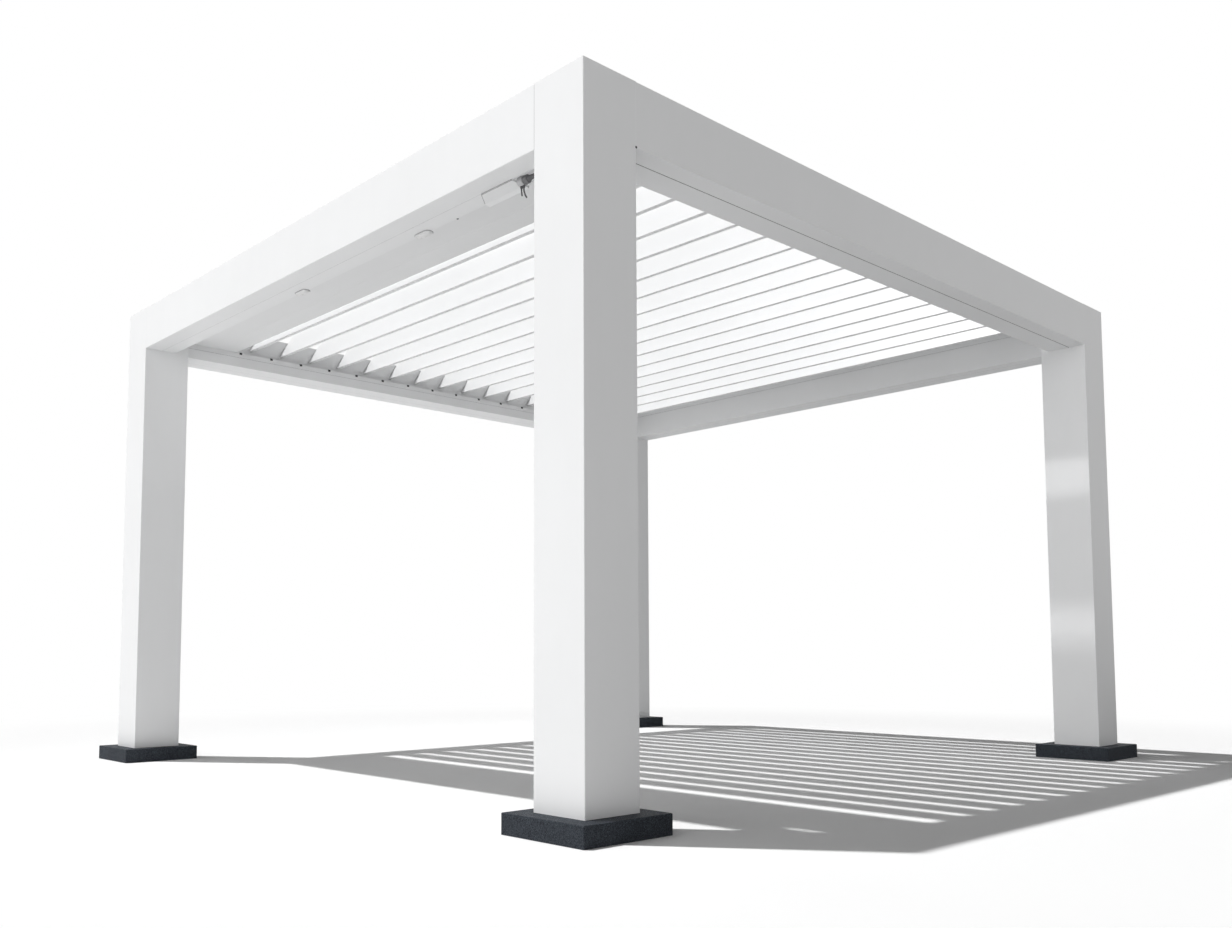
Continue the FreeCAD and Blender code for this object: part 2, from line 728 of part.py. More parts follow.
def make_lead(name, bend, tail, side):
    """A short lead that hangs from the coupling's underside and leans to the front."""
    body = DOC.addObject("PartDesign::Body", "Body")
    pipe = body.newObject("PartDesign::AdditivePipe", "Lead")
    pipe.Profile = sketched(body, "XY_Plane", [], [(0, 0, size("LeadRadius"))])
    pipe.Spine = (lead_path(body, bend, tail), ["Edge1", "Edge2", "Edge3"])
    body.Tip = pipe
    middle = -HALF_DEPTH + HATCH_END - size("LeadInset")
    place(body, (GUTTER_MIDDLE, middle + size("LeadSpacing") / 2 * side, CONNECTOR_UNDERSIDE))
    return keep(body, f"cable_lead_{name}")


def make_fittings():
    """Two low oval fittings on the inner edge of the left gutter's underside."""
    edge = -HALF_LENGTH + LEFT_GUTTER_EDGE
    radius = size("FittingWidth") / 2
    straight = size("FittingLength") - size("FittingWidth")
    drop = size("FittingDrop")
    pieces = []
    for name in ("FirstFitting", "SecondFitting"):
        y = size(name) - HALF_DEPTH - straight / 2
        x = edge - radius + size("FittingReach")
        z = UNDERSIDE - drop
        pieces.append(box(radius * 2, straight, drop, (x - radius, y, z)))
        pieces.append(rod(radius, drop, (x, y, z), None))
        pieces.append(rod(radius, drop, (x, y + straight, z), None))
    return keep(joined(pieces), "oval_fittings")


for corner, signs in CORNERS.items():
    make_pad(corner, *signs)
    make_post(corner, *signs)
make_post_caps()
for side, direction in SIDES.items():
    make_side_beam(side, direction)
    make_side_gutter(side, direction)
    make_pivot_rail(side, direction)
    make_bushes(side, direction)
for end_name, direction in ENDS.items():
    make_end_beam(end_name, direction)
make_left_gutter()
make_right_gutter()
make_left_boards()
make_closing_board()
make_louvres()
make_link_bar()
make_motor()
make_wiring_cover()
make_connector()
make_lead("near", size("NearLeadBend"), size("NearLeadTail"), -1)
make_lead("far", size("FarLeadBend"), size("FarLeadTail"), 1)
make_fittings()
DOC.recompute()

failed = [item.Label for item in DOC.Objects if "Invalid" in item.State or "Error" in item.State]
if failed:
    raise RuntimeError(f"these objects failed: {failed}")
for part in PARTS:
    if part.Shape.isNull() or not part.Shape.isValid():
        raise RuntimeError(f"{part.Label} has no valid shape")

os.makedirs("parts", exist_ok=True)
for part in PARTS:
    part.Shape.exportStep(f"parts/{part.Label}.step")
    print(part.Label, len(part.Shape.Solids), round(part.Shape.Volume / 1e6, 3))
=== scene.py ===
"""Looks of a free-standing pergola with a roof of tilting blades.

The frame gives every large piece. This script gives them their finishes, adds the small
pieces such as screws, seals and clips, and sets up a plain studio with a camera.
"""

import json
import math

import bmesh
import bpy
import numpy as np
from bpy.props import FloatProperty, FloatVectorProperty, IntProperty, PointerProperty
from mathutils import Euler, Matrix, Vector


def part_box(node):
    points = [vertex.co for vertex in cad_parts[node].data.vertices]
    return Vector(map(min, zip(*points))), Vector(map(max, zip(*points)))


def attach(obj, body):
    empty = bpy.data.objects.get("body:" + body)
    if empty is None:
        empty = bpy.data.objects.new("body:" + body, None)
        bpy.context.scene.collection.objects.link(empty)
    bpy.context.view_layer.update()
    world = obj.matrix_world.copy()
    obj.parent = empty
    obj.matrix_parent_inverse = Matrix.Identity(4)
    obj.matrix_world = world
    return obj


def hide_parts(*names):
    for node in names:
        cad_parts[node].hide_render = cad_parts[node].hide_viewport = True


bl_info = {
    "name": "Louvered pergola looks",
    "version": (1, 0, 0),
    "blender": (4, 5, 0),
    "location": "3D View > Sidebar > Pergola",
    "description": "Finishes, small parts and studio for a louvered pergola",
    "category": "Object",
}

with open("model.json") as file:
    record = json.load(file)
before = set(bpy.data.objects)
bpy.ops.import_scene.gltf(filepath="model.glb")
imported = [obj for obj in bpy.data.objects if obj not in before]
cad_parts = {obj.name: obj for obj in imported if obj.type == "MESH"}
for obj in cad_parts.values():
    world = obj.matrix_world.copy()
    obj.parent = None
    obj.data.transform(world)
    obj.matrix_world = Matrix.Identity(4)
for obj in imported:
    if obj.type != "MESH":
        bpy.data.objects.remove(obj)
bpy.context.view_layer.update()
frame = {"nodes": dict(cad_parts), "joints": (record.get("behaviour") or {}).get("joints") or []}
FRAME_BODY = "frame"
IMAGE_WIDTH = 1232
IMAGE_HEIGHT = 928
SENSOR_WIDTH = 36.0
WELD_DISTANCE = 1e-6
SHARP_ANGLE = math.radians(40)
BEVEL_SEGMENTS = 3


def metres(name, description, default, lowest):
    """A property that holds a length."""
    return FloatProperty(name=name, description=description, default=default, min=lowest, unit="LENGTH")


def amount(name, description, default, lowest=0):
    """A property that holds a plain number."""
    return FloatProperty(name=name, description=description, default=default, min=lowest)


def degrees(name, description, default):
    """A property that holds an angle, given in degrees."""
    return FloatProperty(
        name=name, description=description, default=math.radians(default), subtype="ANGLE")


def tint(name, description, default):
    """A property that holds a colour."""
    return FloatVectorProperty(
        name=name, description=description, default=default, subtype="COLOR", min=0, max=1)


class PergolaSizes(bpy.types.PropertyGroup):
    """Sizes of the small pieces."""

    screw_radius: metres("Screw head radius", "Radius of a domed screw head", 0.0065, 0.001)
    screw_height: metres("Screw head height", "Height of a domed screw head", 0.0025, 0.0005)
    screw_inset: metres("Screw inset", "From a plate's edges to its corner screws", 0.028, 0.005)
    seal_radius: metres("Seal radius", "Radius of the bead between a beam and its gutter", 0.0022, 0.0005)
    joint_bead: metres(
        "Joint bead radius", "Radius of the beads in the joints beside the posts", 0.0022, 0.0003)
    step_height: metres(
        "Step height", "From a side gutter's underside to the step in its inner wall", 0.058, 0.005)
    right_step_height: metres(
        "Right step height", "From the right gutter's underside to its step", 0.161, 0.005)
    step_depth: metres("Step depth", "How far a gutter's wall is set back above its step", 0.002, 0.0005)
    # The grey bead on a gutter's step is painted shadow: it draws the shadow line at the step.
    painted_step_shadow_radius: metres("Step bead radius", "Radius of the bead that lies on a gutter's step", 0.0009, 0.0002)
    gutter_wall: metres("Gutter wall", "Thickness of a gutter's walls", 0.003, 0.001)
    # The black clips below are painted shadow where a blade's lower edge meets a gutter's wall.
    shadow_clip_length: metres("Buffer length", "Length of a rubber clip on a gutter's wall", 0.016, 0.004)
    shadow_clip_rise: metres("Buffer rise", "How far a rubber clip stands above a gutter's wall", 0.0035, 0.001)
    shadow_clip_drop: metres("Buffer drop", "How far a rubber clip hangs down beside the wall", 0.010, 0.002)
    shadow_clip_offset: metres(
        "Buffer offset", "From a blade's pivot to its rubber clip, towards the left", 0.140, 0)
    cover_slant: metres("Cover slant", "How much longer the wiring cover is along its inner side", 0.080, 0)
    gasket: metres("Gasket", "Thickness of the gasket round the wiring cover", 0.0025, 0.0005)
    cover_lip: metres(
        "Cover lip", "Width of the sloping lip along the wiring cover's inner side", 0.024, 0.005)
    cover_lip_drop: metres("Cover lip drop", "How far that lip slopes down", 0.007, 0.001)
    fitting_half: metres("Fitting half length", "Half the length of an oval fitting", 0.050, 0.01)
    fitting_gasket: metres(
        "Fitting gasket", "Width and thickness of the gasket round an oval fitting", 0.003, 0.0005)
    # The dark dot at the front beam's joint is painted shadow in a notch; the one under the left gutter is a
    # plug.
    plug_radius: metres("Plug radius", "Radius of the small dark plugs by the front post", 0.0045, 0.001)
    plug_place: metres(
        "Plug place", "From the wiring cover's far end to the plug under the gutter", 0.186, 0)
    blade_half: metres("Blade half width", "From a blade's pivot to its edges", 0.110, 0.05)
    blade_nose: metres("Blade nose", "Thickness of a blade's lower edge", 0.011, 0.002)
    # A thin grey strip over each blade's nose: its grey is painted shade on the downward-facing nose.
    edge_strip: metres(
        "Edge strip", "Thickness of the soft strip along a blade's lower edge", 0.0006, 0.0001)
    blade_top: metres("Blade top", "From a blade's pivot to its top face", 0.015, 0.005)
    blade_lip_lift: metres(
        "Blade lip lift", "From a blade's top face to the underside of its lip", 0.005, 0.001)
    blade_tilt: degrees("Blade tilt", "Tilt of the blades as the frame stores them", 60)
    blade_seal: metres(
        "Blade seal radius", "Radius of the soft bulb under a blade's upper lip", 0.002, 0.0005)
    blade_end_gap: metres("Blade end gap", "From a blade's end to the pivot rail", 0.008, 0.001)
    rail_thickness: metres("Rail thickness", "Thickness of a pivot rail and its foot", 0.003, 0.001)
    clip_radius: metres("Clip radius", "Outer radius of the ring on a crank pin", 0.0075, 0.002)
    rail_screws: IntProperty(
        name="Rail screws", description="Screws along each pivot rail",
        default=15, min=2)


class PergolaFinishes(bpy.types.PropertyGroup):
    """Colours and gloss of the finishes."""

    coat_colour: tint("Powder coat", "Colour of the white powder coat", (0.87, 0.875, 0.88))
    board_share: FloatProperty(
        name="Board share", description="How much of the coat's paleness the ceiling boards have",
        default=0.96, min=0, max=1)
    blade_colour: tint("Blade coat", "Colour of the blades' brighter white coat", (0.93, 0.935, 0.94))
    # Grey of the strip that paints shade on the blades' noses.
    painted_shade_colour: tint(
        "Blade edge", "Colour of the soft strip along a blade's lower edge", (0.60, 0.60, 0.605))
    coat_roughness: FloatProperty(
        name="Powder coat roughness", description="How matt the powder coat is",
        default=0.38, min=0, max=1)
    stone_dark: tint("Granite, dark", "Colour of the granite's dark crystals", (0.022, 0.025, 0.031))
    stone_light: tint("Granite, light", "Colour of the granite's pale crystals", (0.112, 0.128, 0.150))
    alloy_colour: tint("Bare alloy", "Colour of the link bar", (0.72, 0.72, 0.73))
    steel_colour: tint("Stainless steel", "Colour of the screws", (0.62, 0.62, 0.62))
    housing_colour: tint("Drive housing", "Colour of the drive's moulded housing", (0.10, 0.10, 0.11))
    coupling_colour: tint("Coupling", "Colour of the cable coupling's nut", (0.48, 0.48, 0.49))
    gland_colour: tint(
        "Gland", "Colour of the coupling's middle, its gland and the leads", (0.085, 0.085, 0.088))
    sealant_colour: tint("Sealant", "Colour of the grey beads in the joints", (0.34, 0.34, 0.345))
    rubber_colour: tint("Rubber", "Colour of seals, clips and bushes", (0.022, 0.022, 0.024))
    lens_colour: tint("Oval fitting", "Colour of the oval fittings", (0.80, 0.80, 0.80))


class StudioSettings(bpy.types.PropertyGroup):
    """Light and camera."""

    sun_direction: FloatVectorProperty(
        name="Sun direction", description="From the object towards the sun",
        default=(-0.2236, 0.2911, 0.9302), subtype="DIRECTION")
    sun_strength: amount("Sun strength", "Strength of the sun lamp", 2.5)
    sun_width: degrees("Sun width", "Angle that the sun fills", 1.2)
    sky_level: amount("Sky level", "Light that comes from every side", 0.02)
    side_level: amount("Side level", "Extra light from the left end", 2.15)
    side_focus: amount("Side focus", "How closely that light keeps to the left end", 1.5, 0.1)
    front_level: amount("Front level", "Extra light from the front", 0.36)
    low_focus: amount("Low focus", "How closely both keep to the horizon", 1.0, 0.1)
    floor_colour: tint("Floor", "Colour of the floor as the camera sees it", (1.0, 1.0, 1.0))
    floor_behind: tint(
        "Floor, behind", "Colour of the floor as the object sees it, left and behind", (0.92, 0.92, 0.92))
    floor_front: tint(
        "Floor, front", "Colour of the floor as the object sees it, right and in front", (0.50, 0.50, 0.50))
    floor_change: FloatVectorProperty(
        name="Floor change", description="Where X less Y starts and stops changing the floor's colour",
        default=(-4.0, 5.0), size=2, unit="LENGTH")
    floor_fade: FloatVectorProperty(
        name="Floor fade", description="How far out the floor starts and ends turning plain white",
        default=(3.6, 6.5), size=2, unit="LENGTH")
    floor_half: metres("Floor half width", "Half the width of the floor", 60.0, 1)
    camera_place: FloatVectorProperty(
        name="Camera place", description="Where the camera stands",
        default=(-4.597, -4.642, 0.618), subtype="TRANSLATION", unit="LENGTH")
    camera_yaw: degrees("Camera yaw", "From +X towards +Y", 47.15)
    camera_pitch: degrees("Camera pitch", "Upwards from level", 4.35)
    camera_roll: degrees("Camera roll", "How far the picture is turned against the clock", 0.12)
    focal_pixels: amount("Focal length in pixels", "Focal length at the picture's width", 1109.0, 1)
    axis_column: amount("Axis column", "Pixel column that the camera's axis meets", 579.0)
    axis_row: amount("Axis row", "Pixel row that the camera's axis meets", 566.9)


def sizes():
    """The sizes in use."""
    return bpy.context.scene.pergola_sizes


def finishes():
    """The finishes in use."""
    return bpy.context.scene.pergola_finishes


def studio():
    """The studio settings in use."""
    return bpy.context.scene.pergola_studio


class Value:
    """A number socket of a material. Arithmetic on it adds Math nodes."""

    def __init__(self, maker, socket):
        self.maker = maker
        self.socket = socket

    def math(self, operation, *others):
        return self.maker.node("ShaderNodeMath", {"operation": operation}, (self, *others))

    def __add__(self, other):
        return self.math("ADD", other)

    __radd__ = __add__

    def __sub__(self, other):
        return self.math("SUBTRACT", other)

    def __rsub__(self, other):
        return self.maker.node("ShaderNodeMath", {"operation": "SUBTRACT"}, (other, self))

    def __mul__(self, other):
        return self.math("MULTIPLY", other)

    def __pow__(self, other):
        return self.math("POWER", other)

    def over(self, edge, softness):
        """0 below edge, 1 above edge + softness, smooth between."""
        settings = {"interpolation_type": "SMOOTHSTEP"}
        return self.maker.node("ShaderNodeMapRange", settings, (self, edge, edge + softness))

    def highest(self, other):
        return self.math("MAXIMUM", other)


class NodeMaker:
    """Adds nodes to one node tree."""

    def __init__(self, tree):
        self.tree = tree
        tree.nodes.clear()

    def node(self, kind, settings=None, inputs=(), output=0):
        """A node with its settings, its input values or links, and one output as a Value."""
        item = self.tree.nodes.new(kind)
        for name, setting in (settings or {}).items():
            setattr(item, name, setting)
        pairs = inputs.items() if isinstance(inputs, dict) else enumerate(inputs)
        for key, entry in pairs:
            self.feed(item.inputs[key], entry)
        return Value(self, item.outputs[output])

    def blend(self, factor, first, second):
        """One colour where factor is 0 and another where it is 1."""
        settings = {"data_type": "RGBA"}
        inputs = {"Factor": factor, 6: first, 7: second}
        return self.node("ShaderNodeMix", settings, inputs, output=2)

    def finish_with(self, shader, kind):
        """Lead a shader to the tree's output."""
        output = self.tree.nodes.new(kind)
        self.tree.links.new(shader.socket, output.inputs["Surface"])

    def feed(self, socket, entry):
        """Link a Value to a socket, or set a plain number or colour on it."""
        if isinstance(entry, Value):
            self.tree.links.new(entry.socket, socket)
        else:
            socket.default_value = entry


def with_alpha(colour):
    """A colour as four numbers."""
    return (*colour[:3], 1.0)


class Finish(NodeMaker):
    """A material with one Principled shader."""

    def __init__(self, name):
        self.material = bpy.data.materials.new(name)
        self.material.use_nodes = True
        super().__init__(self.material.node_tree)
        self.shader = self.tree.nodes.new("ShaderNodeBsdfPrincipled")
        self.finish_with(Value(self, self.shader.outputs[0]), "ShaderNodeOutputMaterial")
        self.place = self.node("ShaderNodeTexCoord", output="Object")

    def put(self, **entries):
        """Set or link the shader's sockets; underscores stand for spaces."""
        for name, entry in entries.items():
            self.feed(self.shader.inputs[name.replace("_", " ")], entry)
        return self

    def noise(self, scale, detail=2.0, roughness=0.5, stretch=(1, 1, 1)):
        """Soft noise from 0 to 1; scale is in waves to the metre."""
        place = self.node("ShaderNodeMapping", inputs={"Vector": self.place, "Scale": stretch})
        return self.node("ShaderNodeTexNoise", inputs={
            "Vector": place, "Scale": scale, "Detail": detail, "Roughness": roughness})

    def crystals(self, scale):
        """A number from 0 to 1 for each cell of a mosaic."""
        cell = self.node("ShaderNodeTexVoronoi", inputs={
            "Vector": self.place, "Scale": scale}, output="Color")
        return self.node("ShaderNodeSeparateColor", inputs=(cell,))

    def bump(self, height, depth):
        """Raise the surface by height times depth, in metres."""
        inputs = {"Height": height, "Distance": depth, "Strength": 1.0}
        return self.put(Normal=self.node("ShaderNodeBump", inputs=inputs))


def dimmed(colour, share):
    """A colour times a share, with alpha."""
    return with_alpha([channel * share for channel in colour])


def powder_coat(name, colour, roughness):
    """White powder coat: a fine orange-peel skin, faint clouds and streaks of dust drawn out up and down."""
    finish = Finish(name)
    clouds = finish.noise(1.3, detail=4.0)
    dust = finish.noise(9.0, detail=6.0, roughness=0.65, stretch=(1, 1, 0.25))
    shade = (clouds * 0.7 + dust * 0.3).over(0.35, 0.35)
    finish.put(Base_Color=finish.blend(shade, dimmed(colour, 0.975), dimmed(colour, 1.0)))
    finish.put(Roughness=roughness + (dust - 0.5) * 0.10 + (clouds - 0.5) * 0.06)
    peel = finish.noise(520.0, detail=2.0)
    return finish.bump(peel, 0.00006)


def granite():
    """Sawn granite: dark, mid and pale crystals of a few millimetres with glints of mica."""
    look = finishes()
    finish = Finish("granite")
    coarse = finish.crystals(360.0)
    fine = finish.crystals(800.0)
    clouds = finish.noise(7.0, detail=4.0)
    pale = (coarse * 0.55 + fine * 0.45 + (clouds - 0.5) * 0.25).over(0.34, 0.42)
    flecks = fine.over(0.90, 0.04)
    ground = finish.blend(pale, with_alpha(look.stone_dark), dimmed(look.stone_light, 0.5))
    finish.put(Base_Color=finish.blend(flecks * 0.8, ground, with_alpha(look.stone_light)))
    finish.put(Roughness=0.62 - flecks * 0.25 + (coarse - 0.5) * 0.12)
    finish.put(Specular_IOR_Level=0.05)
    saw = finish.noise(90.0, detail=5.0, roughness=0.6)
    return finish.bump(saw * 0.6 + coarse * 0.4, 0.0002)


def brushed_metal(name, colour, roughness, stretch):
    """Metal with fine marks drawn out along its length."""
    finish = Finish(name)
    marks = finish.noise(900.0, detail=3.0, stretch=stretch)
    stain = finish.noise(14.0, detail=3.0)
    finish.put(Base_Color=finish.blend(stain, dimmed(colour, 0.86), with_alpha(colour)))
    finish.put(Roughness=roughness + (marks - 0.5) * 0.22, Metallic=1.0)
    return finish.bump(marks, 0.00004)


def moulded_plastic(name, colour, roughness):
    """Moulded plastic with a spark-eroded grain."""
    finish = Finish(name)
    grain = finish.noise(1100.0, detail=2.0)
    scuffs = finish.noise(45.0, detail=5.0, roughness=0.7).over(0.56, 0.12)
    finish.put(Base_Color=finish.blend(scuffs, with_alpha(colour), dimmed(colour, 1.18)))
    finish.put(Roughness=roughness - scuffs * 0.10)
    return finish.bump(grain, 0.00005)


def soft_rubber(name, colour):
    """Matt rubber with a little bloom."""
    finish = Finish(name)
    bloom = finish.noise(60.0, detail=4.0)
    finish.put(Base_Color=finish.blend(bloom, with_alpha(colour), dimmed(colour, 1.6)))
    finish.put(Roughness=0.66 + (bloom - 0.5) * 0.2, Specular_IOR_Level=0.35)
    return finish.bump(finish.noise(700.0), 0.00005)


def finish_named(name):
    """The finish of that name, made when it is first asked for."""
    found = bpy.data.materials.get(name)
    if found:
        return found
    look = finishes()
    makers = {
        "white_coat": lambda: powder_coat(name, look.coat_colour, look.coat_roughness),
        "white_blade_coat": lambda: powder_coat(name, look.blade_colour, look.coat_roughness + 0.04),
        "edge_strip": lambda: soft_rubber(name, look.painted_shade_colour),
        "white_board_coat": lambda: powder_coat(
            name, dimmed(look.coat_colour, look.board_share), look.coat_roughness),
        "grey_sealant": lambda: soft_rubber(name, look.sealant_colour),
        "pale_sealant": lambda: soft_rubber(name, dimmed(look.coat_colour, 0.62)),
        "granite": granite,
        "brushed_alloy": lambda: brushed_metal(name, look.alloy_colour, 0.34, (0.02, 1, 1)),
        "stainless": lambda: brushed_metal(name, look.steel_colour, 0.28, (1, 1, 1)),
        "housing_plastic": lambda: moulded_plastic(name, look.housing_colour, 0.48),
        "coupling_nylon": lambda: moulded_plastic(name, look.coupling_colour, 0.42),
        "gland_nylon": lambda: moulded_plastic(name, dimmed(look.gland_colour, 1.9), 0.50),
        "lead_jacket": lambda: soft_rubber(name, look.gland_colour),
        "lens_plastic": lambda: moulded_plastic(name, look.lens_colour, 0.30),
        "black_rubber": lambda: soft_rubber(name, look.rubber_colour),
        "bush_nylon": lambda: moulded_plastic(name, look.rubber_colour, 0.40),
    }
    return makers[name]().material


def dress(node, finish):
    """Give a CAD node its finish."""
    mesh = frame["nodes"][node].data
    mesh.materials.clear()
    mesh.materials.append(finish_named(finish))


def dress_all(start, finish):
    """Give a finish to every CAD node whose name starts so."""
    for node in sorted(frame["nodes"]):
        if node.startswith(start):
            dress(node, finish)


def grid_faces(rows, columns, wrap):
    """Four-cornered faces between neighbouring points of a grid; wrap joins its last column to its first."""
    across = np.arange(columns if wrap else columns - 1)
    down = np.arange(rows - 1)
    i, j = (part.ravel() for part in np.meshgrid(down, across, indexing="ij"))
    following = (j + 1) % columns
    return np.stack([i * columns + j, i * columns + following,
                     (i + 1) * columns + following, (i + 1) * columns + j], axis=1)


def lathe(profile, segments=24):
    """A profile turned about Z: each point is (radius cos a, radius sin a, height) at angle a."""
    profile = np.asarray(profile, float)
    angle = np.linspace(0, 2 * np.pi, segments, endpoint=False)
    radius = profile[:, :1]
    points = np.stack([radius * np.cos(angle), radius * np.sin(angle),
                       np.broadcast_to(profile[:, 1:], (len(profile), segments))], axis=-1)
    return points.reshape(-1, 3), grid_faces(len(profile), segments, True)


def prism(section, start, end):
    """A closed section carried straight from start to end, with a face across each end."""
    section = np.asarray(section, float)
    count = len(section)
    points = np.concatenate([section + np.asarray(start, float), section + np.asarray(end, float)])
    caps = [list(range(count))[::-1], list(range(count, 2 * count))]
    return points, grid_faces(2, count, True).tolist() + caps


def circle_section(radius, first, second, segments=10):
    """Points round a circle in the plane of two axes."""
    angle = np.linspace(0, 2 * np.pi, segments, endpoint=False)[:, None]
    return radius * (np.cos(angle) * np.asarray(first, float) + np.sin(angle) * np.asarray(second, float))


def turned(points, axis):
    """Points made about +Z, turned so that +Z points along an axis."""
    turn = Vector((0, 0, 1)).rotation_difference(Vector(axis)).to_matrix()
    return points @ np.array(turn).T


def repeated(points, faces, places):
    """Copies of one shape at several places."""
    places = np.asarray(places, float)
    every = (points[None] + places[:, None]).reshape(-1, 3)
    steps = np.arange(len(places)) * len(points)
    copies = [[index + step for index in face] for step in steps for face in faces]
    return every, copies


def gathered(*shapes):
    """Several shapes as one list of points and faces."""
    points = []
    faces = []
    for shape_points, shape_faces in shapes:
        step = sum(len(block) for block in points)
        points.append(np.asarray(shape_points, float))
        faces += [[int(index) + step for index in face] for face in shape_faces]
    return np.concatenate(points), faces


def moved(shape, offset):
    """A shape carried by an offset."""
    points, faces = shape
    return points + np.array(offset), faces


def linked(name, data):
    """A new object in the scene."""
    item = bpy.data.objects.new(name, data)
    bpy.context.scene.collection.objects.link(item)
    return item


def add_piece(name, shape, finish, body=FRAME_BODY, smooth=True, bevel=0.0):
    """One object from points and faces, welded, with its faces outwards, that moves with a body."""
    points, faces = shape
    mesh = bpy.data.meshes.new(name)
    mesh.from_pydata(np.asarray(points).tolist(), [], [list(map(int, face)) for face in faces])
    work = bmesh.new()
    work.from_mesh(mesh)
    bmesh.ops.remove_doubles(work, verts=work.verts, dist=WELD_DISTANCE)
    bmesh.ops.recalc_face_normals(work, faces=work.faces)
    work.to_mesh(mesh)
    work.free()
    mesh.polygons.foreach_set("use_smooth", [smooth] * len(mesh.polygons))
    mesh.materials.append(finish_named(finish))
    piece = linked(name, mesh)
    if smooth:
        mesh.set_sharp_from_angle(angle=SHARP_ANGLE)
    if bevel:
        edge = piece.modifiers.new("Edges", "BEVEL")
        edge.width = bevel
        edge.segments = BEVEL_SEGMENTS
        edge.limit_method = "ANGLE"
    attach(piece, body)
    return piece


def screw_head(axis):
    """A domed head: a quarter ellipse turned about its axis, with a round socket in the middle."""
    radius = sizes().screw_radius
    height = sizes().screw_height
    angle = np.linspace(0.5, np.pi / 2, 7)
    dome = np.stack([radius * np.sin(angle), height * np.cos(angle)], axis=1)
    socket = [(0, height * 0.25), (radius * 0.42, height * 0.25), (radius * 0.44, height * 0.86)]
    skirt = [(radius, -height * 0.3), (0, -height * 0.3)]
    points, faces = lathe([*socket, *dome, *skirt])
    return turned(points, axis), faces


def screws(name, places, axis, body=FRAME_BODY):
    """One piece with a screw head at each place."""
    points, faces = screw_head(axis)
    return add_piece(name, repeated(points, faces, places), "stainless", body)


def corner_places(low, high, inset, level):
    """The four corners of a plate, moved in from its edges, at one height."""
    xs = (low[0] + inset, high[0] - inset)
    ys = (low[1] + inset, high[1] - inset)
    return [(x, y, level) for x in xs for y in ys]


def add_cap_screws():
    """Four screws in each post cap."""
    places = []
    for node in sorted(frame["nodes"]):
        if node.startswith("post_") and node != "post_caps":
            low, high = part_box(node)
            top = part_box("post_caps")[1].z
            places += corner_places(low, high, sizes().screw_inset, top)
    screws("cap_screws", places, (0, 0, 1))


def bead(radius, start, end):
    """A straight round bead along X or Y: a circle carried from start to end."""
    across = (0, 1, 0) if start[1] == end[1] else (1, 0, 0)
    return prism(circle_section(radius, across, (0, 0, 1)), start, end)


def add_gutter_seals():
    """A bead in the joint between each beam's underside and its gutter."""
    radius = sizes().seal_radius
    for side, finish in (("front", "black_rubber"), ("rear", "pale_sealant")):
        low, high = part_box(f"side_beam_{side}")
        y = high.y if side == "front" else low.y
        level = low.z + radius * 0.8
        shape = bead(radius, (low.x, y, level), (high.x, y, level))
        add_piece(f"gutter_seal_{side}", shape, finish)
    for end in ("left", "right"):
        low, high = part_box(f"end_beam_{end}")
        x = high.x if end == "left" else low.x
        level = low.z + radius * 0.8
        shape = bead(radius, (x, low.y, level), (x, high.y, level))
        add_piece(f"gutter_seal_{end}", shape, "pale_sealant")


def add_joint_beads():
    """A bead in the groove beside each post: grey at the end beams; at the side beams a bead in the blades'
    brighter white, which also paints the edge highlight in the joint.
    """
    radius = sizes().joint_bead
    grey = []
    white = []
    section = circle_section(radius, (1, 0, 0), (0, 1, 0))
    for end in ("left", "right"):
        low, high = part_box(f"end_beam_{end}")
        x = low.x + radius if end == "left" else high.x - radius
        for y in (low.y, high.y):
            grey.append(prism(section, (x, y, low.z), (x, y, high.z - radius)))
    for side in ("front", "rear"):
        low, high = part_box(f"side_beam_{side}")
        y = low.y + radius if side == "front" else high.y - radius
        for x in (low.x, high.x):
            white.append(prism(section, (x, y, low.z), (x, y, high.z - radius)))
    add_piece("joint_beads_grey", gathered(*grey), "grey_sealant")
    # The side-beam beads take the brighter blade coat: a real bead whose brighter white is also a painted
    # highlight in the joint.
    add_piece("joint_beads_white", gathered(*white), "white_blade_coat")


def add_painted_step_shadows():
    """A thin grey bead on the step of each gutter's inner wall; its grey is painted shadow, the shadow line
    at the step.
    """
    size = sizes()
    radius = size.painted_step_shadow_radius
    shapes = []
    for side, sign in (("front", -1), ("rear", 1)):
        low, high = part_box(f"side_gutter_{side}")
        y = (low.y if sign > 0 else high.y) + sign * (size.step_depth - radius)
        level = low.z + size.step_height + radius
        shapes.append(bead(radius, (low.x, y, level), (high.x, y, level)))
    low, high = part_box("end_gutter_right")
    x = low.x + size.step_depth - radius
    level = low.z + size.right_step_height + radius
    shapes.append(bead(radius, (x, low.y, level), (x, high.y, level)))
    add_piece("step_beads", gathered(*shapes), "grey_sealant")


def shadow_clip_section():
    """An upside-down U with round shoulders that clips over a gutter's wall, in Y and Z."""
    size = sizes()
    inner = size.gutter_wall / 2
    rubber = 0.0018
    outer = inner + rubber
    rise = size.shadow_clip_rise
    angle = np.linspace(0, np.pi, 9)
    dome = [(0, outer * math.cos(turn), rise * math.sin(turn)) for turn in angle]
    drop = -size.shadow_clip_drop
    return [(0, outer, drop), *dome, (0, -outer, drop), (0, -inner, drop), (0, -inner, 0),
            (0, inner, 0), (0, inner, drop)]


